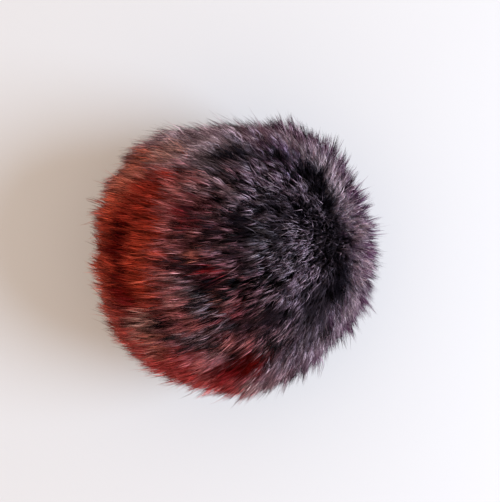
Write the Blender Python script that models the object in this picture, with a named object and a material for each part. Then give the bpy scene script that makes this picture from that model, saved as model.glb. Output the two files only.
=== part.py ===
"""A round fur pom pom, lying on a flat surface.

The real one is a disc of long-pile fur, drawn up into a ball with the edge of the disc underneath. Its
hair is combed one way over the whole disc, and ends in overlapping locks. The solid is the whole ball
out to the hair's tips: its broad lobes, the locks that overlap on it like scales, and the small flat
foot that it rests on.

Units are metres and +Z is up. The origin is on the surface, under the middle of the ball.
"""

import math

import bmesh
import bpy
import numpy as np

# Driving dimensions of the ball, out to the hair's tips.
WIDTH = 0.115  # along X
DEPTH = 0.111  # along Y
HEIGHT = 0.102  # along Z, as the ball rests
FOOT_PRESS = 0.0036  # the depth of fur that the ball's own weight presses flat under it
FOOT_REACH = (18.0, 42.0)  # degrees from straight down over which the pressed locks stand up again

# The middle of the disc is on top. Its hair is combed towards -X, and turns a little to one side of that
# over the +X half of the ball and to the other side over the -X half.
COMB_AZIMUTH = 183.0  # degrees from +X towards +Y
COMB_TURN = 19.0  # degrees at +X, about the outward direction

# Broad lobes of the stuffed ball. A negative height is a flatter place.
LOBE_COLUMNS = ("name", "azimuth_deg", "elevation_deg", "height_m", "spread_deg")
LOBES = (
    ("right shoulder", 30, 5, 0.0006, 20),
    ("upper right shoulder", 62, 5, 0.0044, 18),
    ("flat above", 95, 8, -0.0028, 14),
    ("upper left shoulder", 135, 5, 0.0056, 24),
    ("lower left shoulder", 213, 5, 0.0032, 20),
    ("lower right flat", 312, 8, -0.0040, 20),
    ("crown", 200, 70, 0.0016, 40),
)

# Locks of hair, in a loose golden-angle spiral from the top to the foot. Each is a tapered tuft that
# rises from its root to its point. Lengths across and along the ball are in radians.
LOCK_COUNT = 260
LOCK_HEIGHT = 0.0050  # how far a lock's point stands off the ball
LOCK_HEIGHT_SPREAD = 0.45  # share by which one lock's height differs from the next
LOCK_STRAY = 0.05  # how far a lock's middle strays from the spiral
LOCK_HALF_LENGTH = 0.19
LOCK_HALF_WIDTH = 0.13  # at its root
LOCK_CREST = 0.40  # share of the half length at which it stands highest
LOCK_SEED = 7
GOLDEN_ANGLE = math.pi * (3.0 - math.sqrt(5.0))

SPHERE_SUBDIVISIONS = 5

FUR_COLOUR = (0.105, 0.070, 0.078, 1.0)
FUR_ROUGHNESS = 0.8


def clear_scene():
    for old in list(bpy.data.objects):
        bpy.data.objects.remove(old)


def direction(azimuth_deg, elevation_deg):
    azimuth = math.radians(azimuth_deg)
    elevation = math.radians(elevation_deg)
    level = math.cos(elevation)
    return np.array([level * math.cos(azimuth), level * math.sin(azimuth), math.sin(elevation)])


def smooth_step(low, high, value):
    share = np.clip((value - low) / (high - low), 0.0, 1.0)
    return share * share * (3.0 - 2.0 * share)


def lobe_relief(directions):
    """Height of the broad lobes along each direction from the ball's middle."""
    relief = np.zeros(len(directions))
    for row in LOBES:
        lobe = dict(zip(LOBE_COLUMNS, row))
        centre = direction(lobe["azimuth_deg"], lobe["elevation_deg"])
        away = np.degrees(np.arccos(np.clip(directions @ centre, -1.0, 1.0)))
        relief += lobe["height_m"] * np.exp(-((away / lobe["spread_deg"]) ** 2))
    return relief


def combed(directions):
    """The unit vector along which the hair lies at each direction from the ball's middle.

    It is the one direction in which the disc's hair is combed, carried down the ball from its top.
    """
    top = np.array([0.0, 0.0, 1.0])
    comb = direction(COMB_AZIMUTH, 0.0)
    carried = directions @ comb / (1.001 + directions @ top)
    lie = comb - carried[:, None] * (top + directions)
    lie -= directions * (lie * directions).sum(axis=1)[:, None]
    lie /= np.linalg.norm(lie, axis=1)[:, None]
    turn = np.radians(COMB_TURN) * directions[:, :1]
    return lie * np.cos(turn) + np.cross(directions, lie) * np.sin(turn)


def lock_middles(strays):
    index = np.arange(LOCK_COUNT) + 0.5
    height = 1.0 - 2.0 * index / LOCK_COUNT
    level = np.sqrt(1.0 - height**2)
    turn = index * GOLDEN_ANGLE
    middles = np.stack([level * np.cos(turn), level * np.sin(turn), height], axis=1)
    middles += strays.normal(0.0, LOCK_STRAY, middles.shape)
    return middles / np.linalg.norm(middles, axis=1)[:, None]


def lock_relief(directions):
    """Height of the locks: each narrows and rises to its point, over the root of the next."""
    strays = np.random.default_rng(LOCK_SEED)
    middles = lock_middles(strays)
    lie = combed(middles)
    heights = LOCK_HEIGHT * (1.0 + LOCK_HEIGHT_SPREAD * strays.uniform(-1.0, 1.0, LOCK_COUNT))
    facing = directions @ middles.T > 0.0
    along = (directions @ lie.T) / LOCK_HALF_LENGTH
    across = (directions @ np.cross(middles, lie).T) / LOCK_HALF_WIDTH
    rise = smooth_step(-1.0, LOCK_CREST, along)
    fall = 1.0 - smooth_step(LOCK_CREST, 1.0, along)
    taper = np.clip((1.0 - along) / 2.0, 0.05, 1.0)
    crown = np.clip(1.0 - across**2 / taper, 0.0, 1.0)
    relief = (heights * rise * fall * crown * facing).max(axis=1)
    from_below = np.degrees(np.arccos(np.clip(-directions[:, 2], -1.0, 1.0)))
    return relief * smooth_step(*FOOT_REACH, from_below)


def fitted_to_box(points):
    """The points scaled to the driving dimensions and centred. What is below the surface is pressed flat."""
    low = points.min(axis=0)
    high = points.max(axis=0)
    size = np.array([WIDTH, DEPTH, HEIGHT + FOOT_PRESS])
    middle = (low + high) / 2.0
    points = (points - middle) * size / (high - low)
    points[:, 2] += size[2] / 2.0 - FOOT_PRESS
    points[:, 2] = np.maximum(points[:, 2], 0.0)
    return points


def fur_ball():
    shape = bmesh.new()
    bmesh.ops.create_icosphere(shape, subdivisions=SPHERE_SUBDIVISIONS, radius=1.0)
    directions = np.array([vertex.co.normalized() for vertex in shape.verts])
    mean_radius = (WIDTH + DEPTH + HEIGHT) / 6.0
    radius = mean_radius + lobe_relief(directions) + lock_relief(directions)
    for vertex, place in zip(shape.verts, fitted_to_box(directions * radius[:, None])):
        vertex.co = place
    mesh = bpy.data.meshes.new("fur_ball")
    shape.to_mesh(mesh)
    shape.free()
    mesh.shade_smooth()
    ball = bpy.data.objects.new("fur_ball", mesh)
    bpy.context.scene.collection.objects.link(ball)
    return ball


def fur_material():
    material = bpy.data.materials.new("dyed_fur")
    material.use_nodes = True
    surface = material.node_tree.nodes["Principled BSDF"]
    surface.inputs["Base Color"].default_value = FUR_COLOUR
    surface.inputs["Roughness"].default_value = FUR_ROUGHNESS
    surface.inputs["Metallic"].default_value = 0.0
    return material


clear_scene()
fur_ball().data.materials.append(fur_material())
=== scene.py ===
import math

import bmesh
import bpy
import numpy as np
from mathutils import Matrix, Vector
from mathutils.bvhtree import BVHTree
from mathutils.kdtree import KDTree


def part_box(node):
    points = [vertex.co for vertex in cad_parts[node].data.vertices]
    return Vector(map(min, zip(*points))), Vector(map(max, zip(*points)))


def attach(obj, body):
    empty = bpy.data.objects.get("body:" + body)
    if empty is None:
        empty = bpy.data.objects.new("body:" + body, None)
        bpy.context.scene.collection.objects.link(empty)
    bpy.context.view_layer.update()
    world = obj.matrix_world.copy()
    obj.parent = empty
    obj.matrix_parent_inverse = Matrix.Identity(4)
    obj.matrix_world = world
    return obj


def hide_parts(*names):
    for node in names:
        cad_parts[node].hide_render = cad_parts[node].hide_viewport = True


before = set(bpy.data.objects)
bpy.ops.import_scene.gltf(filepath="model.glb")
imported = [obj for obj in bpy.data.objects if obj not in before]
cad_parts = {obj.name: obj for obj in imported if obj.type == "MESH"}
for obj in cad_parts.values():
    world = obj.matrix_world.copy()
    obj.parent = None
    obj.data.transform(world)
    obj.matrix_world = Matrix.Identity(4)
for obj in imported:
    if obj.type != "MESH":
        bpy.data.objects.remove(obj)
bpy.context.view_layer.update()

# ---- The stuffed ball -------------------------------------------------------------------------------
# Under the long hair is a ball of fibre filling in a gathered disc of fur cloth, whose short, matted
# wool is dense enough to hide the cloth. It follows the solid's surface, some way below the hair's tips.
# Its near-black colour is painted shade, deep in the pile under the hair.

WOOL_DEPTH = 0.0115  # from the hair's tips down to the wool's surface
WOOL_SUBDIVISIONS = 5
WOOL_SMOOTHINGS = 2
WOOL_LUMP = 0.0010  # about how high the wool's own lumps are
WOOL_WAVE_COUNT = 48  # waves over the ball that add up to the lumps
WOOL_WAVE_TURN = 16.0  # about how many radians of a wave one radius of the ball spans
WOOL_WAVE_GAIN = 4.0  # brings the mean of the waves to heights of up to about 1
WOOL_FLOOR_GAP = 0.0010  # the lowest that the wool lies over the surface under the ball
WOOL_SEED = 3
WOOL_DYE_SEED = 4
LOCK_SIZE = 0.12  # in radians: half the way from one of the solid's locks to the next
LOCK_NEIGHBOURS = 6  # places round each one, at that distance, whose mean reach is taken
LOCK_SHARE = 0.55  # share of the depth between the locks that the fur follows
PILE_LIFT = 0.0010  # how far the fur stands over the solid between the locks' crests


def direction(azimuth_deg, elevation_deg):
    azimuth = math.radians(azimuth_deg)
    elevation = math.radians(elevation_deg)
    level = math.cos(elevation)
    return np.array([level * math.cos(azimuth), level * math.sin(azimuth), math.sin(elevation)])


def unit(vectors):
    return vectors / np.maximum(np.linalg.norm(vectors, axis=-1, keepdims=True), 1e-12)


def smooth_step(low, high, value):
    share = np.clip((value - low) / (high - low), 0.0, 1.0)
    return share * share * (3.0 - 2.0 * share)


ball_low, ball_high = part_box("fur_ball")
BALL_MIDDLE = (np.array(ball_low) + np.array(ball_high)) / 2.0
BALL_RADIUS = float(np.mean(np.array(ball_high) - np.array(ball_low))) / 2.0

solid_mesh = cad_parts["fur_ball"].data
solid_surface = BVHTree.FromPolygons(
    [vertex.co.copy() for vertex in solid_mesh.vertices],
    [tuple(face.vertices) for face in solid_mesh.polygons],
)


def solid_reach(directions):
    """How far the solid reaches from the ball's middle along each direction."""
    middle = Vector(BALL_MIDDLE)
    reach = np.full(len(directions), BALL_RADIUS)
    for index, way in enumerate(directions):
        hit, _, _, distance = solid_surface.ray_cast(middle, Vector(way))
        if hit is not None:
            reach[index] = distance
    return reach


def pile_reach(directions):
    """How far the fur reaches: to the crests of the solid's locks, and less deep between them."""
    east = unit(np.cross((0.0, 0.0, 1.0), directions))
    north = np.cross(directions, east)
    nearby = np.zeros(len(directions))
    for turn in np.arange(LOCK_NEIGHBOURS) * 2.0 * math.pi / LOCK_NEIGHBOURS:
        aside = math.cos(turn) * east + math.sin(turn) * north
        nearby += solid_reach(unit(directions + LOCK_SIZE * aside))
    nearby /= LOCK_NEIGHBOURS
    return nearby + LOCK_SHARE * (solid_reach(directions) - nearby) + PILE_LIFT


# Each dye's colour, how streaky the fur is that takes it, and how far the tips of its hair are plum.
# 1 is the undyed fur's full contrast, and its plum tips. Mauve and blush are set pale enough to hold a
# painted glow of the light through the thin hair at the rim. Black is partly black hair and partly
# painted shade, and pink holds a painted highlight.
DYES_AND_PAINTED_LIGHT = {
    "undyed": ((0.64, 0.47, 0.60), 1.0, 1.0),
    "mauve": ((1.00, 0.81, 0.96), 0.38, 0.60),
    "blush": ((1.00, 0.80, 0.86), 0.42, 0.35),
    "plum": ((0.78, 0.53, 0.68), 0.85, 1.0),
    "dusk": ((0.66, 0.48, 0.58), 0.9, 0.8),
    "violet": ((0.52, 0.36, 0.56), 0.9, 1.0),
    "grey": ((0.70, 0.60, 0.74), 0.8, 0.8),
    "burgundy": ((0.43, 0.155, 0.195), 1.0, 0.7),
    "rose": ((0.72, 0.21, 0.22), 0.8, 0.3),
    "pink": ((0.95, 0.30, 0.32), 0.5, 0.1),
    "brown": ((0.92, 0.26, 0.18), 0.7, 0.2),
    "beige": ((0.78, 0.42, 0.38), 0.5, 0.3),
    "rust": ((0.58, 0.056, 0.032), 0.44, 0.1),
    "orange": ((0.92, 0.140, 0.072), 0.44, 0.0),
    "scarlet": ((0.84, 0.120, 0.125), 0.5, 0.0),
    "crimson": ((0.45, 0.020, 0.028), 0.7, 0.0),
    "maroon": ((0.14, 0.003, 0.002), 0.6, 0.0),
    "black": ((0.015, 0.011, 0.017), 0.5, 0.0),
}

# The dye lies in patches, some of them brushed on by hand, each over the ones before it. Some patches
# paint light and shade as well: a glow on the pale rims, a highlight low on the red fur, and shade in
# the black patches where the hair parts. Each row is one patch: where its middle is, its half widths
# round and up the ball, all in degrees of arc, and how strongly it takes.
PATCH_COLUMNS = ("dye_and_painted_light", "azimuth_deg", "elevation_deg", "half_round", "half_up", "strength")
DYE_AND_PAINTED_LIGHT_PATCHES = (
    # Pale mauve and blush round the rim: partly the hair's own pale band, and partly a painted glow of the
    # light through the thin hair there.
    ("mauve", 97, 8, 42, 22, 1.0),
    ("mauve", 108, 32, 22, 16, 0.8),
    ("dusk", 115, 40, 8, 6, 0.6),
    ("blush", 40, 8, 40, 22, 0.95),
    ("blush", 345, 4, 40, 21, 0.95),
    ("blush", 305, 12, 26, 18, 0.55),
    ("plum", 66, 0, 22, 16, 0.8),
    ("plum", 84, 20, 10, 8, 0.4),
    ("plum", 35, -3, 40, 16, 1.0),
    ("plum", 345, -2, 34, 16, 1.0),
    ("plum", 312, 0, 24, 14, 0.9),
    ("violet", 66, 30, 14, 11, 0.8),
    ("burgundy", 190, 72, 40, 26, 0.9),
    ("burgundy", 255, 55, 34, 22, 0.8),
    ("burgundy", 140, 62, 24, 14, 0.8),
    ("scarlet", 245, 12, 40, 26, 1.0),
    ("rust", 175, 34, 40, 27, 1.0),
    ("orange", 180, -25, 52, 42, 1.0),
    ("orange", 150, 17, 12, 9, 1.0),
    ("brown", 138, 16, 14, 11, 1.0),
    ("rust", 137, 42, 13, 9, 0.9),
    ("orange", 190, 51, 22, 8, 0.4),
    ("rose", 178, 61, 34, 6, 0.7),
    ("rose", 125, 47, 8, 6, 0.8),
    ("rose", 112, 55, 10, 7, 0.35),
    ("rose", 217, 57, 10, 6, 0.9),
    ("rose", 199, 61, 8, 5, 0.9),
    ("rose", 158, 68, 5, 5, 0.9),
    ("beige", 112, 55, 8, 5, 0.2),
    ("rose", 238, 56, 9, 6, 0.8),
    ("maroon", 183, 33, 27, 6, 1.0),
    ("maroon", 167, 31, 10, 6, 1.0),
    ("maroon", 201, 27, 9, 6, 0.9),
    ("beige", 120, 25, 9, 8, 0.9),
    ("blush", 217, 33, 7, 6, 0.5),
    ("beige", 217, 33, 8, 7, 1.0),
    ("beige", 224, 26, 10, 6, 0.8),
    ("crimson", 207, 31, 8, 5, 0.7),
    ("crimson", 244, 27, 12, 5, 0.6),
    ("brown", 229, 28, 9, 7, 0.7),
    ("rose", 229, 24, 6, 5, 0.5),
    # A painted highlight on the red fur, low on the ball.
    ("pink", 256, 31, 4, 13, 0.9),
    ("rose", 259, 47, 6, 5, 0.8),
    ("rose", 272, 50, 8, 5, 0.9),
    ("blush", 284, 13, 11, 8, 0.7),
    ("maroon", 270, 31, 10, 7, 1.0),
    ("maroon", 282, 37, 11, 8, 1.0),
    ("crimson", 266, 28, 9, 6, 0.6),
    ("dusk", 296, 46, 6, 5, 0.9),
    ("mauve", 299, 31, 8, 7, 0.25),
    ("mauve", 306, 24, 8, 7, 0.25),
    ("burgundy", 293, 17, 9, 8, 0.45),
    ("scarlet", 270, 12, 5, 8, 0.9),
    ("crimson", 138, 63, 4, 6, 0.8),
    ("crimson", 113, 63, 5, 4, 0.4),
    ("crimson", 213, 79, 5, 5, 1.0),
    ("crimson", 190, 73, 3, 5, 0.6),
    # Black here is partly black hair and partly painted shade between tufts.
    ("black", 190, 73, 5, 5, 0.95),
    ("crimson", 276, 67, 6, 4, 0.6),
    ("brown", 248, 73, 5, 5, 0.5),
    ("brown", 173, 73, 3, 5, 0.6),
    ("crimson", 256, 56, 6, 4, 0.5),
    ("burgundy", 91, 53, 7, 5, 0.8),
    ("burgundy", 273, 78, 8, 7, 0.8),
    ("burgundy", 309, 68, 8, 6, 0.6),
    ("pink", 239, 55, 6, 5, 0.5),
    ("dusk", 238, 66, 4, 5, 0.9),
    # The black patches over the crown are partly black hair and partly painted shade in the gaps between
    # tufts.
    ("black", 153, 65, 3, 6, 0.9),
    ("black", 130, 74, 5, 6, 0.95),
    ("black", 134, 61, 4, 3, 0.5),
    ("black", 87, 73, 6, 4, 0.75),
    ("black", 62, 75, 6, 4, 0.75),
    ("black", 50, 85, 5, 8, 0.8),
    ("black", 181, 69, 3, 6, 0.9),
    ("black", 228, 68, 5, 7, 1.0),
    ("black", 236, 77, 5, 4, 0.9),
    ("black", 342, 82, 4, 5, 0.7),
    ("dusk", 251, 49, 7, 6, 0.7),
    ("rose", 291, 49, 7, 5, 0.3),
    ("dusk", 94, 58, 9, 6, 0.5),
    ("blush", 211, 64, 4, 6, 0.35),
    ("dusk", 261, 60, 6, 4, 0.6),
    ("grey", 74, 61, 9, 6, 0.25),
    ("grey", 14, 61, 8, 6, 0.4),
    ("grey", 336, 67, 10, 8, 0.35),
    ("grey", 31, 74, 6, 5, 1.0),
    # More black patches, many in an arc round the crown: partly black hair and partly painted shade where
    # the hair parts.
    ("black", 221, 44, 7, 4, 1.0),
    ("black", 305, 58, 8, 6, 0.95),
    ("black", 277, 59, 7, 5, 0.85),
    ("black", 334, 48, 7, 6, 0.5),
    ("black", 91, 40, 11, 8, 1.0),
    ("black", 45, 61, 9, 6, 0.95),
    ("black", 32, 50, 9, 6, 1.0),
    ("black", 27, 68, 7, 5, 0.9),
    ("black", 68, 75, 8, 5, 0.9),
    ("black", 50, 31, 9, 6, 1.0),
    ("black", 35, 35, 9, 7, 1.0),
    ("black", 20, 39, 9, 8, 0.8),
    ("black", 4, 43, 9, 8, 0.95),
    ("black", 350, 36, 10, 8, 1.0),
    ("black", 337, 43, 9, 8, 0.85),
    ("black", 319, 39, 11, 8, 0.75),
)
PATCH_FADE = (0.65, 1.35)  # shares of its half widths over which a patch fades
PATCH_SPECKLE = 0.8  # how unevenly the hair takes the dye where a patch fades
PATCH_RAGGED = 0.030  # how far a patch's edge strays, in radians


def patch_mask(row, directions):
    """How strongly a patch takes at each direction: whole in its middle, and fading at its edge."""
    patch = dict(zip(PATCH_COLUMNS, row))
    middle = direction(patch["azimuth_deg"], patch["elevation_deg"])
    east = unit(np.cross((0.0, 0.0, 1.0), middle))
    north = np.cross(middle, east)
    across = directions @ east / math.sin(math.radians(patch["half_round"]))
    upwards = directions @ north / math.sin(math.radians(patch["half_up"]))
    inside = 1.0 - smooth_step(*PATCH_FADE, np.hypot(across, upwards))
    return inside * (directions @ middle > 0.0) * patch["strength"]


def dye_and_painted_light_at(directions, chance):
    """The colour that the fur takes at each direction, with the painted glow, highlight and shade of its
    patches, how streaky it is there, and its tips.
    """
    strayed = unit(directions + chance.normal(0.0, PATCH_RAGGED, directions.shape))
    colour = np.tile(DYES_AND_PAINTED_LIGHT["undyed"][0], (len(directions), 1))
    streaky = np.full(len(directions), DYES_AND_PAINTED_LIGHT["undyed"][1])
    plum = np.full(len(directions), DYES_AND_PAINTED_LIGHT["undyed"][2])
    for row in DYE_AND_PAINTED_LIGHT_PATCHES:
        share = patch_mask(row, strayed)
        uneven = chance.uniform(-1.0, 1.0, len(directions))
        share = share + PATCH_SPECKLE * share * (1.0 - share) * uneven
        dye_and_painted_light, dye_streaky, dye_plum = DYES_AND_PAINTED_LIGHT[row[0]]
        colour += share[:, None] * (np.array(dye_and_painted_light) - colour)
        streaky += share * (dye_streaky - streaky)
        plum += share * (dye_plum - plum)
    return colour, streaky, plum


def add_values(mesh, name, values):
    """Gives a mesh one value, or one colour, at each vertex, for its material to read."""
    values = np.asarray(values, np.float32)
    if values.ndim == 1:
        mesh.attributes.new(name, "FLOAT", "POINT").data.foreach_set("value", values)
        return
    colours = np.concatenate([values, np.ones((len(values), 1), np.float32)], axis=1)
    mesh.attributes.new(name, "FLOAT_COLOR", "POINT").data.foreach_set("color", colours.reshape(-1))


def attribute(nodes, name, output="Fac"):
    """The value, or with output="Color" the colour, that add_values gave the mesh."""
    node = nodes.new("ShaderNodeAttribute")
    node.attribute_name = name
    return node.outputs[output]


# A colour Mix node's sockets share their names, so they go by number.
MIX_SHARE = 0
MIX_FIRST = 6
MIX_SECOND = 7
MIX_RESULT = 2


def dimmed(nodes, links, colour, level):
    """The colour made darker by the level."""
    mix = nodes.new("ShaderNodeMix")
    mix.data_type = "RGBA"
    mix.blend_type = "MULTIPLY"
    mix.inputs[MIX_SHARE].default_value = 1.0
    links.new(colour, mix.inputs[MIX_FIRST])
    links.new(level, mix.inputs[MIX_SECOND])
    return mix.outputs[MIX_RESULT]


def wool_material():
    material = bpy.data.materials.new("matted_wool_painted_shade")
    material.use_nodes = True
    nodes, links = material.node_tree.nodes, material.node_tree.links
    surface = nodes["Principled BSDF"]
    surface.inputs["Roughness"].default_value = 0.95
    surface.inputs["Specular IOR Level"].default_value = 0.1
    place = nodes.new("ShaderNodeTexCoord")
    tufts = nodes.new("ShaderNodeTexNoise")
    tufts.inputs["Scale"].default_value = 900.0
    tufts.inputs["Detail"].default_value = 4.0
    links.new(place.outputs["Object"], tufts.inputs["Vector"])
    # Painted shade: the wool shows only 1 to 6 % of its dye, for the shadow deep in the pile.
    shade = nodes.new("ShaderNodeMapRange")
    shade.inputs["From Min"].default_value = 0.35
    shade.inputs["From Max"].default_value = 0.65
    shade.inputs["To Min"].default_value = 0.01
    shade.inputs["To Max"].default_value = 0.06
    links.new(tufts.outputs["Fac"], shade.inputs["Value"])
    wool_dye_and_painted_light = attribute(nodes, "dye_and_painted_light", "Color")
    links.new(dimmed(nodes, links, wool_dye_and_painted_light, shade.outputs["Result"]), surface.inputs["Base Color"])
    bump = nodes.new("ShaderNodeBump")
    bump.inputs["Strength"].default_value = 0.8
    bump.inputs["Distance"].default_value = 0.0006
    links.new(tufts.outputs["Fac"], bump.inputs["Height"])
    links.new(bump.outputs["Normal"], surface.inputs["Normal"])
    return material


def wool_ball():
    shape = bmesh.new()
    bmesh.ops.create_icosphere(shape, subdivisions=WOOL_SUBDIVISIONS, radius=1.0)
    ways = np.array([vertex.co.normalized() for vertex in shape.verts])
    chance = np.random.default_rng(WOOL_SEED)
    waves = chance.normal(0.0, WOOL_WAVE_TURN, (WOOL_WAVE_COUNT, 3))
    phases = chance.uniform(0.0, 2.0 * math.pi, WOOL_WAVE_COUNT)
    lumps = np.sin(ways @ waves.T + phases).mean(axis=1) * WOOL_WAVE_GAIN
    radius = pile_reach(ways) - WOOL_DEPTH + WOOL_LUMP * lumps
    for vertex, way, far in zip(shape.verts, ways, radius):
        place = BALL_MIDDLE + way * far
        place[2] = max(place[2], WOOL_FLOOR_GAP)
        vertex.co = place
    for _ in range(WOOL_SMOOTHINGS):
        bmesh.ops.smooth_vert(
            shape, verts=shape.verts, factor=0.5, use_axis_x=True, use_axis_y=True, use_axis_z=True
        )
    mesh = bpy.data.meshes.new("wool_ball")
    shape.to_mesh(mesh)
    shape.free()
    mesh.shade_smooth()
    places = np.array([vertex.co for vertex in mesh.vertices])
    colour, _, _ = dye_and_painted_light_at(unit(places - BALL_MIDDLE), np.random.default_rng(WOOL_DYE_SEED))
    add_values(mesh, "dye_and_painted_light", colour)
    mesh.materials.append(wool_material())
    ball = bpy.data.objects.new("wool_ball", mesh)
    bpy.context.scene.collection.objects.link(ball)
    return ball


wool = wool_ball()
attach(wool, "root")
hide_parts("fur_ball")

# ---- The long hair ----------------------------------------------------------------------------------
# Long, straight hair grows through the wool. It is combed one way over the whole disc of fur, whose
# middle is on top. It clings together in fine points, and these in pointed tufts. Each hair is a closed,
# three-sided spike.

COMB_AZIMUTH = 183.0  # degrees from +X towards +Y
COMB_TURN = 19.0  # degrees at +X, about the outward direction
COMB_GUARD = 1.001  # just over 1, so that the comb has a direction straight down as well
TOUSLE_MIDDLE = direction(14.0, 42.0)  # the middle of the crown, where the hair is tousled
TOUSLE_FADE = (8.0, 30.0)  # degrees from there over which it comes to lie straight
HAIR_LAY = 0.27  # how far round the ball a hair's tip lies from its root, in radians
HAIR_LAY_SPREAD = 0.16  # share by which one hair's lay differs from the next
UNDER_LAY = 0.4  # share of the lay that is left under the ball
UNDER_FADE = (-0.95, -0.55)  # heights over the ball's middle, in its radii, where the lay grows full
ANY_WAY = 0.02  # how far a tip strays in any direction, in radians
ROOT_DEPTH = 0.0135  # from the hair's tips down to its roots, deep in the wool
FLOOR_GAP = 0.0005  # the lowest that hair lies over the surface under the ball
GOLDEN_ANGLE = math.pi * (3.0 - math.sqrt(5.0))

# Where the hair is longer than elsewhere, or shorter: the place, by how much, and how far round.
LENGTH_COLUMNS = ("azimuth_deg", "elevation_deg", "longer_m", "spread_deg")
LENGTH_PLACES = (
    (47, 8, 0.0018, 9),
    (73, 8, 0.0026, 8),
    (166, 5, 0.0018, 12),
    (271, 8, 0.0022, 8),
    (331, 6, 0.0026, 9),
    (346, 8, -0.0022, 9),
    (15, 8, -0.0008, 8),
    (87, 8, -0.0024, 9),
    (107, 6, -0.0010, 20),
    (197, 6, -0.0010, 12),
    (315, 8, -0.0010, 7),
)


def spread_over_ball(count, jitter, chance):
    """Directions spread evenly over the ball in a golden-angle spiral, each a little out of place."""
    index = np.arange(count) + 0.5
    height = 1.0 - 2.0 * index / count
    level = np.sqrt(1.0 - height**2)
    turn = index * GOLDEN_ANGLE
    even = np.stack([level * np.cos(turn), level * np.sin(turn), height], axis=1)
    return unit(even + chance.normal(0.0, jitter, even.shape))


def combed(ways):
    """The unit vector along which the hair lies at each direction from the ball's middle.

    It is the one direction in which the disc's hair is combed, carried down the ball from its top.
    """
    top = np.array([0.0, 0.0, 1.0])
    comb = direction(COMB_AZIMUTH, 0.0)
    carried = ways @ comb / (COMB_GUARD + ways @ top)
    lie = comb - carried[:, None] * (top + ways)
    lie = unit(lie - ways * (lie * ways).sum(axis=1)[:, None])
    turn = np.radians(COMB_TURN) * ways[:, :1]
    return lie * np.cos(turn) + np.cross(ways, lie) * np.sin(turn)


def laid_back(ways, chance, stray):
    """Where the tip of a hair with its root at each direction lies, before it clings to others."""
    lie = combed(ways)
    turn = chance.normal(0.0, stray, len(ways))[:, None]
    lie = lie * np.cos(turn) + np.cross(ways, lie) * np.sin(turn)
    back = HAIR_LAY * (1.0 + chance.normal(0.0, HAIR_LAY_SPREAD, len(ways)))
    back *= UNDER_LAY + (1.0 - UNDER_LAY) * smooth_step(*UNDER_FADE, ways[:, 2])
    any_way = unit(chance.normal(0.0, 1.0, ways.shape))
    any_way = any_way - ways * (any_way * ways).sum(axis=1)[:, None]
    return unit(ways * np.cos(back)[:, None] + lie * np.sin(back)[:, None] + any_way * ANY_WAY)


def tousled(ways):
    """How tousled the hair is at each direction, from 0 to 1."""
    away = np.degrees(np.arccos(np.clip(ways @ TOUSLE_MIDDLE, -1.0, 1.0)))
    return 1.0 - smooth_step(*TOUSLE_FADE, away)


def longer_by(ways):
    """How much longer than elsewhere the hair is at each direction."""
    longer = np.zeros(len(ways))
    for row in LENGTH_PLACES:
        place = dict(zip(LENGTH_COLUMNS, row))
        middle = direction(place["azimuth_deg"], place["elevation_deg"])
        away = np.degrees(np.arccos(np.clip(ways @ middle, -1.0, 1.0)))
        longer += place["longer_m"] * np.exp(-((away / place["spread_deg"]) ** 2))
    return longer


def nearest_in(ways):
    """A function that gives the index of the nearest of these directions to each of some others."""
    tree = KDTree(len(ways))
    for index, way in enumerate(ways):
        tree.insert(way, index)
    tree.balance()
    return lambda others: np.array([tree.find(other)[1] for other in others])


# The pointed tufts. Some stand higher than others, and all stand a little higher towards +X.
TUFT_COUNT = 4800
TUFT_SEED = 11
TUFT_JITTER = 0.012  # how far each is out of its even place, in radians
TUFT_STRAY = 0.17  # how far each turns from the comb's line, in radians
TUFT_RISE = 0.0005  # how far the mean tuft's tip stands over the pile
TUFT_RISE_SPREAD = 0.0015
TUFT_RISE_AHEAD = 0.0007  # how much more at +X
TUFT_AHEAD = (-0.2, 0.6)  # places along X, in the ball's radii, over which that grows
TUFT_LEVEL_SPREAD = 0.50  # how much paler or darker one is than the next

tuft_chance = np.random.default_rng(TUFT_SEED)
tuft_roots = spread_over_ball(TUFT_COUNT, TUFT_JITTER, tuft_chance)
tuft_tips = laid_back(tuft_roots, tuft_chance, TUFT_STRAY)
tuft_rise = tuft_chance.normal(TUFT_RISE, TUFT_RISE_SPREAD, TUFT_COUNT)
tuft_rise += TUFT_RISE_AHEAD * smooth_step(*TUFT_AHEAD, tuft_tips[:, 0])
tuft_phase = tuft_chance.uniform(0.0, 1.0, TUFT_COUNT)
tuft_draw = tuft_chance.uniform(0.0, 1.0, TUFT_COUNT)

# The fine points that the hair clings together in, several to a tuft.
POINT_COUNT = 15000
POINT_SEED = 12
POINT_JITTER = 0.006  # how far each is out of its even place, in radians
POINT_STRAY = 0.20  # how far each turns from the comb's line, in radians
POINT_REACH_SPREAD = 0.0009
TUFT_PULL = 0.50  # how far a point's tip is drawn to its tuft's
TUFT_PULL_SPREAD = 0.2
TUFT_PULL_MOST = 0.9

point_chance = np.random.default_rng(POINT_SEED)
point_roots = spread_over_ball(POINT_COUNT, POINT_JITTER, point_chance)
nearest_point = nearest_in(point_roots)
point_tuft = nearest_in(tuft_roots)(point_roots)
point_pull = TUFT_PULL + point_chance.normal(0.0, TUFT_PULL_SPREAD, POINT_COUNT)
point_pull = np.clip(point_pull, 0.0, TUFT_PULL_MOST)[:, None]
point_tips = unit(
    laid_back(point_roots, point_chance, POINT_STRAY) * (1.0 - point_pull)
    + tuft_tips[point_tuft] * point_pull
)
point_reach = pile_reach(point_tips) + longer_by(point_tips) + tuft_rise[point_tuft]
point_reach += point_chance.normal(0.0, POINT_REACH_SPREAD, POINT_COUNT)

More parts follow.
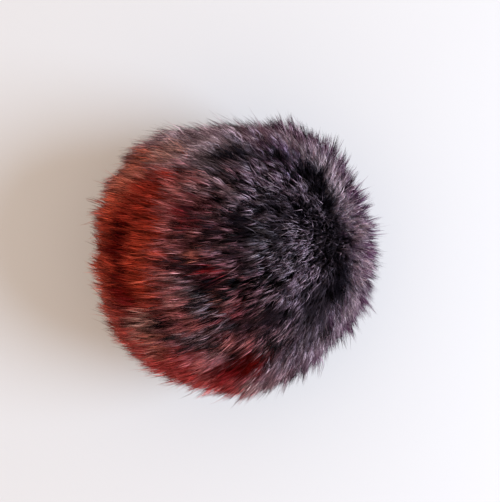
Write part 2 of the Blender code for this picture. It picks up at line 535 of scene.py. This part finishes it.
# How each point is coloured. Its dye is the one at the place where its hair shows, which is most of the
# way from its root to its tip. Streaky fur has black tufts and points among the pale ones: partly black
# hair, and partly painted shade in the gaps between tufts.
SEEN_FROM_ROOT = 0.65  # share of the way
DYE_DEPTH = 0.14  # how much deeper or paler one point of hair takes the dye than the next
BLACK_SHARE = 0.05  # of the tufts, and of the points
PEPPERED_SHARE = 0.17  # how much larger that is where the fur is peppered
BLACK_STREAKY = 0.85  # only fur that is streakier has them
POINT_LEVEL_SPREAD = 1.05  # how much paler or darker one point is than the next
PHASE_TOGETHER = 0.65  # how far a tuft's points turn pale at one height

# Where the fur has many black tufts among the pale ones, partly painted shade in the gaps.
PEPPERED_PATCHES = (
    ("peppered", 10, 62, 50, 42, 1.0),
    ("peppered", 250, 66, 50, 28, 1.0),
    ("peppered", 85, 45, 30, 16, 0.8),
)

point_seen = unit((1.0 - SEEN_FROM_ROOT) * point_roots + SEEN_FROM_ROOT * point_tips)
point_dye_and_painted_light, point_streaky, point_plum = dye_and_painted_light_at(point_seen, point_chance)
black_share = np.max([patch_mask(row, point_seen) for row in PEPPERED_PATCHES], axis=0)
black_share = BLACK_SHARE + PEPPERED_SHARE * black_share
is_black = tuft_draw[point_tuft] < black_share
is_black |= point_chance.uniform(0.0, 1.0, POINT_COUNT) < black_share
is_black &= point_streaky > BLACK_STREAKY
point_depth = 1.0 + point_streaky * point_chance.normal(0.0, DYE_DEPTH, POINT_COUNT)
point_dye_and_painted_light = point_dye_and_painted_light ** point_depth[:, None]
point_dye_and_painted_light[is_black] = DYES_AND_PAINTED_LIGHT["black"][0]
point_level = point_chance.normal(0.0, POINT_LEVEL_SPREAD, POINT_COUNT)
point_level += tuft_chance.normal(0.0, TUFT_LEVEL_SPREAD, TUFT_COUNT)[point_tuft]
point_phase = PHASE_TOGETHER * tuft_phase[point_tuft]
point_phase += (1.0 - PHASE_TOGETHER) * point_chance.uniform(0.0, 1.0, POINT_COUNT)

# The hairs themselves. Most cling to their point, and a few stand loose.
COAT_COUNT = 5
COAT_HAIRS = 19800
COAT_SEED = 20  # each coat's number is added to it
HAIR_SIDES = 3
HAIR_CUT = 0.66  # share of its length at which it has its one ring of corners
HAIR_THICKNESS = 0.00024  # across the circle round it, at its root
HAIR_THICKNESS_SPREAD = 0.25  # share by which one hair's thickness differs from the next
HAIR_TAPER = 0.45  # share of its thickness that a hair loses on the way, before it runs to a point
HAIR_JITTER = 0.006  # how far each is out of its even place, in radians
HAIR_STRAY = 0.30  # how far each turns from the comb's line, in radians
TOUSLE_STRAY = 0.10  # how far a tousled tip strays, in radians
POINT_PULL = 0.90  # how far a hair's tip is drawn to its point's
POINT_PULL_SPREAD = 0.12
POINT_PULL_MOST = 0.97
TOUSLE_PULL_LOSS = 0.25  # how much less a tousled one is
LOOSE_SHARE = 0.06  # of the hairs
LOOSE_PULL = 0.2  # share of the pull that a loose hair feels
SHORTER_SPREAD = 0.0012  # how far a hair ends below its point's tip
LOOSE_LONGER_SPREAD = 0.0018  # how much farther a loose one reaches
HAIR_LEAST = 0.006  # how far the shortest hair rises from its root
HAIR_RISE = 0.66  # share of its height at which a hair bends over
HAIR_RISE_SPREAD = 0.10
HAIR_RISE_LIMITS = (0.2, 0.9)
HAIR_BEND_ROUND = 0.32  # share of its lay at which it bends over
HAIR_BEND_STRAY = 0.0004  # how far the bend is out of its place
TINY = 1e-6  # under this, two places count as one


def hair_shape():
    """One straight hair up +Z, one unit long and one unit round, cut across once."""
    shape = bmesh.new()
    bmesh.ops.create_cone(
        shape, cap_ends=True, segments=HAIR_SIDES, radius1=1.0, radius2=0.0, depth=1.0
    )
    bmesh.ops.translate(shape, verts=shape.verts, vec=(0.0, 0.0, 0.5))
    bmesh.ops.bisect_plane(
        shape,
        geom=shape.verts[:] + shape.edges[:] + shape.faces[:],
        plane_co=(0.0, 0.0, HAIR_CUT),
        plane_no=(0.0, 0.0, 1.0),
    )
    bmesh.ops.recalc_face_normals(shape, faces=shape.faces)
    shape.verts.index_update()
    places = np.array([vertex.co for vertex in shape.verts])
    faces = [[vertex.index for vertex in face.verts] for face in shape.faces]
    shape.free()
    return places, faces


def hair_curves(ways, owner, chance):
    """The start, the bend and the end of each hair's line: up through the wool, and over with the comb."""
    count = len(ways)
    tousle = tousled(ways)
    start_reach = pile_reach(ways) - ROOT_DEPTH
    own_tips = laid_back(ways, chance, HAIR_STRAY)
    own_tips = unit(own_tips + TOUSLE_STRAY * tousle[:, None] * chance.normal(0.0, 1.0, ways.shape))
    pull = POINT_PULL + chance.normal(0.0, POINT_PULL_SPREAD, count) - TOUSLE_PULL_LOSS * tousle
    pull = np.clip(pull, 0.0, POINT_PULL_MOST)
    is_loose = chance.uniform(0.0, 1.0, count) < LOOSE_SHARE
    pull[is_loose] *= LOOSE_PULL
    tips = unit(own_tips * (1.0 - pull)[:, None] + point_tips[owner] * pull[:, None])
    end_reach = point_reach[owner] - np.abs(chance.normal(0.0, SHORTER_SPREAD, count))
    end_reach += is_loose * np.abs(chance.normal(0.0, LOOSE_LONGER_SPREAD, count))
    start_reach = np.minimum(start_reach, end_reach - HAIR_LEAST)
    start = BALL_MIDDLE + ways * start_reach[:, None]
    end = BALL_MIDDLE + tips * end_reach[:, None]

    part_way = unit(ways * (1.0 - HAIR_BEND_ROUND) + tips * HAIR_BEND_ROUND)
    rise = np.clip(HAIR_RISE + chance.normal(0.0, HAIR_RISE_SPREAD, count), *HAIR_RISE_LIMITS)
    bend_reach = start_reach + (end_reach - start_reach) * rise
    bend = BALL_MIDDLE + part_way * bend_reach[:, None]
    bend += chance.normal(0.0, HAIR_BEND_STRAY, (count, 3))
    return start, bend, end


def hair_corners(places, ways, curves, chance):
    """The corners of the one hair's shape, carried along each hair's line."""
    start, bend, end = (ends[:, None] for ends in curves)
    along = places[:, 2]
    around = np.arctan2(places[:, 1], places[:, 0])
    is_round = np.linalg.norm(places[:, :2], axis=1) > TINY
    girth = is_round * (1.0 - HAIR_TAPER * along**2)
    far = along[None, :, None]
    line = (1.0 - far) ** 2 * start + 2.0 * far * (1.0 - far) * bend + far**2 * end
    heading = unit((1.0 - far) * (bend - start) + far * (end - bend))
    side = unit(np.cross(heading, ways[:, None]))
    over = np.cross(side, heading)
    roll = chance.uniform(0.0, 2.0 * math.pi, len(ways))[:, None] + around[None]
    thick = HAIR_THICKNESS * (1.0 + HAIR_THICKNESS_SPREAD * chance.uniform(-1.0, 1.0, len(ways)))
    half = (thick[:, None] * girth[None] / 2.0)[..., None]
    line[..., 2] = np.maximum(line[..., 2], FLOOR_GAP + HAIR_THICKNESS)
    return line + half * (np.cos(roll)[..., None] * side + np.sin(roll)[..., None] * over)


def joined_hairs(name, corners, faces):
    """One mesh of all the hairs, each with the corners given for it and the same faces."""
    count, size = corners.shape[:2]
    totals = np.array([len(face) for face in faces])
    loops = np.arange(count)[:, None] * size + np.concatenate(faces)[None]
    starts = np.cumsum(np.tile(totals, count)) - np.tile(totals, count)
    mesh = bpy.data.meshes.new(name)
    mesh.vertices.add(count * size)
    mesh.vertices.foreach_set("co", corners.reshape(-1).astype(np.float32))
    mesh.loops.add(loops.size)
    mesh.loops.foreach_set("vertex_index", loops.reshape(-1).astype(np.int32))
    mesh.polygons.add(len(starts))
    mesh.polygons.foreach_set("loop_start", starts.astype(np.int32))
    mesh.update(calc_edges=True)
    return mesh


# Each hair has a narrow strip of its own in the map of its coat, with its root's face at the foot of it.
MAP_COLUMNS = 320  # strips side by side
STRIP_MARGIN = (0.2, 0.04)  # share of a strip that is left free at each side, and at each end
STRIP_ROOT = 0.02  # half of the strip's length that the root's face takes


def strip_places(places, faces):
    """Where each corner of each face of one hair lies in its strip: across it, and along it."""
    corners = []
    for face in faces:
        middle = places[face, :2].mean(axis=0)
        facing = math.atan2(middle[1], middle[0])
        is_root = np.ptp(places[face, 2]) < TINY
        for index in face:
            angle = math.atan2(places[index, 1], places[index, 0])
            is_tip = np.linalg.norm(places[index, :2]) < TINY
            if is_tip:
                corners.append((0.5, 1.0))
            elif is_root:
                across = 0.5 + 0.5 * math.cos(angle)
                corners.append((across, STRIP_ROOT + STRIP_ROOT * math.sin(angle)))
            else:
                across = 0.5 + 0.5 * math.copysign(1.0, math.sin(angle - facing))
                corners.append((across, places[index, 2]))
    return np.array(corners)


def map_hairs(mesh, count, corners):
    """Gives each hair of a coat its strip."""
    rows = math.ceil(count / MAP_COLUMNS)
    column = (np.arange(count) % MAP_COLUMNS)[:, None]
    row = (np.arange(count) // MAP_COLUMNS)[:, None]
    beside, below = STRIP_MARGIN
    across = (column + beside + (1.0 - 2.0 * beside) * corners[None, :, 0]) / MAP_COLUMNS
    upwards = (row + below + (1.0 - 2.0 * below) * corners[None, :, 1]) / rows
    layer = mesh.uv_layers.new(name="OFBake")
    layer.data.foreach_set("uv", np.stack([across, upwards], axis=-1).reshape(-1).astype(np.float32))


# How the hairs are coloured. A hair is either pale or nearly black for most of its length, dark at its
# root, and darker again at its tip: plum on undyed fur, and a deeper red on the red. The nearly black
# hairs are partly the fur's own black and partly painted shade in the gaps between tufts, and the dark
# root is partly the hair's own dark base and partly painted shade deep in the pile.
DARKEST = 0.012  # share of its dye that the darkest hair shows
PALE_STEEP = 3.2  # how sharply hair is either pale or dark
PALE_MORE = 0.30  # shifts it towards pale
HAIR_LEVEL_SPREAD = 0.40  # how much paler or darker one hair is than the next
HAIR_SHADE_SPREAD = 0.25  # and on evenly dyed fur as well
LEVEL_MOST = 2.2  # share of its dye that the palest hair shows
PALE_FROM = 0.30  # share of its length from which the first hair to turn pale does so
PALE_FROM_PHASE = 0.34  # and how much later the last does
PALE_FROM_SPREAD = 0.05
PALE_FADE = (-0.05, 0.08)  # shares of its length, from there, over which it turns pale
# The dark root is partly painted shade deep in the pile.
ROOT_LEVEL = 0.02  # share of its level that the root of undyed hair has
ROOT_LEVEL_DYED = 0.5  # how much more the root of the evenest dyed hair has
ROOT_STREAKY = (0.5, 0.95)  # the streakiness over which that fades
GLOSS = 0.02  # of the evenest dyed hair
GLOSS_STREAKY = 0.28  # how much more streaky hair has
GLOSS_FADE = (0.6, 0.9)  # the streakiness over which that grows
TIP_FROM = 0.68  # share of its length from which its tip is darker
TIP_FROM_SPREAD = 0.07
TIP_FROM_TOP = 0.06  # how much later on top of the ball
TIP_FROM_RED = 0.10  # how much later on red fur
TIP_FADE = 0.10  # share of its length over which it darkens
TOP_TIP_SHADE = np.array([0.25, 0.18, 0.24])  # share of its dye that a plum tip shows on top
SIDE_TIP_SHADE = np.array([0.13, 0.04, 0.10])  # and down the sides
RED_TIP_SHADE = 0.6  # and on red fur
TIP_LEVEL_MOST = 1.3
TOP_FADE = (0.35, 0.60)  # heights over the ball's middle, in its radii, from side to top
PLUM_SIDE = ("plum tips", 340, 6, 40, 26, 1.0)  # a patch where the tips are darker from lower down
PLUM_SIDE_SOONER = 0.07


def colour_hairs_with_painted_light(mesh, ways, owner, along, chance):
    """Gives a coat what its material reads: each hair's dye with its painted light, how pale and glossy it
    is, its root's painted shade, and its tip.
    """
    count, size = len(ways), len(along)
    streaky = point_streaky[owner]
    plum = point_plum[owner]
    dye_and_painted_light = point_dye_and_painted_light[owner]
    pale = point_level[owner] + chance.normal(0.0, HAIR_LEVEL_SPREAD, count)
    level = DARKEST + (1.0 - DARKEST) / (1.0 + np.exp(-PALE_STEEP * (pale + PALE_MORE)))
    level = level**streaky * np.exp(chance.normal(0.0, HAIR_SHADE_SPREAD, count))
    root_level = ROOT_LEVEL + ROOT_LEVEL_DYED * (1.0 - smooth_step(*ROOT_STREAKY, streaky))
    gloss = GLOSS + GLOSS_STREAKY * smooth_step(*GLOSS_FADE, streaky)
    pale_from = PALE_FROM + PALE_FROM_PHASE * point_phase[owner]
    pale_from += chance.normal(0.0, PALE_FROM_SPREAD, count)

    on_top = smooth_step(*TOP_FADE, ways[:, 2])
    shade = SIDE_TIP_SHADE + (TOP_TIP_SHADE - SIDE_TIP_SHADE) * on_top[:, None]
    tip_dye_and_painted_light = dye_and_painted_light * (RED_TIP_SHADE + (shade - RED_TIP_SHADE) * plum[:, None])
    tip_dye_and_painted_light *= np.minimum(level, TIP_LEVEL_MOST)[:, None]
    tip_from = chance.normal(TIP_FROM, TIP_FROM_SPREAD, count)
    tip_from += TIP_FROM_TOP * on_top
    tip_from += TIP_FROM_RED * (1.0 - plum)
    tip_from -= PLUM_SIDE_SOONER * patch_mask(PLUM_SIDE, ways)

    add_values(mesh, "along", np.tile(along, count))
    add_values(mesh, "level", np.repeat(np.clip(level, 0.0, LEVEL_MOST), size))
    add_values(mesh, "root_level", np.repeat(root_level, size))
    add_values(mesh, "gloss", np.repeat(gloss, size))
    add_values(mesh, "pale_from", np.repeat(pale_from, size))
    add_values(mesh, "tip_from", np.repeat(tip_from, size))
    add_values(mesh, "dye_and_painted_light", np.repeat(dye_and_painted_light, size, axis=0))
    add_values(mesh, "tip_dye_and_painted_light", np.repeat(tip_dye_and_painted_light, size, axis=0))


def fading_in(nodes, links, value, low, high):
    """From 0 to 1 as the value goes from low to high."""
    node = nodes.new("ShaderNodeMapRange")
    node.interpolation_type = "SMOOTHSTEP"
    node.inputs["From Min"].default_value = low
    node.inputs["From Max"].default_value = high
    links.new(value, node.inputs["Value"])
    return node.outputs["Result"]


def combined(nodes, links, operation, first, second):
    node = nodes.new("ShaderNodeMath")
    node.operation = operation
    links.new(first, node.inputs[0])
    links.new(second, node.inputs[1])
    return node.outputs[0]


def hair_material():
    material = bpy.data.materials.new("hair_dye_and_painted_light")
    material.use_nodes = True
    nodes, links = material.node_tree.nodes, material.node_tree.links
    surface = nodes["Principled BSDF"]
    surface.inputs["Roughness"].default_value = 0.45

    # Each hair is dark at its root, partly its own dark base and partly painted shade deep in the pile,
    # and pale from a height that is much the same all over its tuft.
    along = attribute(nodes, "along")
    risen = combined(nodes, links, "SUBTRACT", along, attribute(nodes, "pale_from"))
    rooted = fading_in(nodes, links, risen, *PALE_FADE)
    rooted = combined(nodes, links, "MAXIMUM", rooted, attribute(nodes, "root_level"))
    level = combined(nodes, links, "MULTIPLY", rooted, attribute(nodes, "level"))
    body = dimmed(nodes, links, attribute(nodes, "dye_and_painted_light", "Color"), level)
    shine = combined(nodes, links, "MULTIPLY", level, attribute(nodes, "gloss"))
    links.new(shine, surface.inputs["Specular IOR Level"])

    # Its tip goes over to the tip's own colour.
    past = combined(nodes, links, "SUBTRACT", along, attribute(nodes, "tip_from"))
    tipped = nodes.new("ShaderNodeMix")
    tipped.data_type = "RGBA"
    links.new(fading_in(nodes, links, past, 0.0, TIP_FADE), tipped.inputs[MIX_SHARE])
    links.new(body, tipped.inputs[MIX_FIRST])
    links.new(attribute(nodes, "tip_dye_and_painted_light", "Color"), tipped.inputs[MIX_SECOND])
    links.new(tipped.outputs[MIX_RESULT], surface.inputs["Base Color"])
    return material


HAIR_MATERIAL = hair_material()


def hair_coat(name, seed):
    """One coat of hair all over the ball, joined in one piece."""
    chance = np.random.default_rng(seed)
    ways = spread_over_ball(COAT_HAIRS, HAIR_JITTER, chance)
    owner = nearest_point(ways)
    places, faces = hair_shape()
    curves = hair_curves(ways, owner, chance)
    mesh = joined_hairs(name, hair_corners(places, ways, curves, chance), faces)
    map_hairs(mesh, COAT_HAIRS, strip_places(places, faces))
    colour_hairs_with_painted_light(mesh, ways, owner, places[:, 2], chance)
    mesh.materials.append(HAIR_MATERIAL)
    mesh.shade_smooth()
    coat = bpy.data.objects.new(name, mesh)
    bpy.context.scene.collection.objects.link(coat)
    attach(coat, "root")
    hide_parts("fur_ball")


for number in range(1, COAT_COUNT + 1):
    hair_coat(f"long_hair_{number}", COAT_SEED + number)

# ---- The table, the light and the camera ------------------------------------------------------------
# The ball lies on a plain pale table in soft light from the right, seen from straight above.

TABLE_HALF_SIDE = 1.5
TABLE_COLOUR = (0.67, 0.66, 0.675, 1.0)
CAMERA_HEIGHT = 0.45
CAMERA_ASIDE = (0.0058, 0.0030)  # how far it stands from straight over the ball's middle
VIEW_SIDE = 0.2221  # the longer side of the view, at the table
SENSOR = 36.0
ROOM_COLOUR = (1.0, 0.84, 0.70, 1.0)
ROOM_STRENGTH = 0.91

table_shape = bmesh.new()
bmesh.ops.create_grid(table_shape, x_segments=1, y_segments=1, size=TABLE_HALF_SIDE)
table_mesh = bpy.data.meshes.new("table")
table_shape.to_mesh(table_mesh)
table_shape.free()
table = bpy.data.objects.new("table", table_mesh)
bpy.context.scene.collection.objects.link(table)
table_material = bpy.data.materials.new("pale_table")
table_material.use_nodes = True
table_surface = table_material.node_tree.nodes["Principled BSDF"]
table_surface.inputs["Base Color"].default_value = TABLE_COLOUR
table_surface.inputs["Roughness"].default_value = 0.6
table_mesh.materials.append(table_material)

camera_data = bpy.data.cameras.new("camera")
camera_data.sensor_width = SENSOR
camera_data.lens = SENSOR * CAMERA_HEIGHT / VIEW_SIDE
camera_data.clip_start = 0.01
camera_data.clip_end = 10.0
camera = bpy.data.objects.new("camera", camera_data)
camera.location = (*CAMERA_ASIDE, CAMERA_HEIGHT)
bpy.context.scene.collection.objects.link(camera)
bpy.context.scene.camera = camera


def soft_light(name, place, size, power, colour):
    """A round soft light that shines on the ball."""
    data = bpy.data.lights.new(name, "AREA")
    data.shape = "DISK"
    data.size = size
    data.energy = power
    data.color = colour
    light = bpy.data.objects.new(name, data)
    light.location = place
    light.rotation_euler = (Vector(BALL_MIDDLE) - Vector(place)).to_track_quat("-Z", "Y").to_euler()
    bpy.context.scene.collection.objects.link(light)


soft_light("window", place=(0.96, -0.10, 0.87), size=0.7, power=19.2, colour=(0.644, 0.814, 1.0))

world = bpy.data.worlds.new("world")
world.use_nodes = True
world.node_tree.nodes["Background"].inputs["Color"].default_value = ROOM_COLOUR
world.node_tree.nodes["Background"].inputs["Strength"].default_value = ROOM_STRENGTH
bpy.context.scene.world = world
bpy.context.scene.view_settings.view_transform = "Standard"
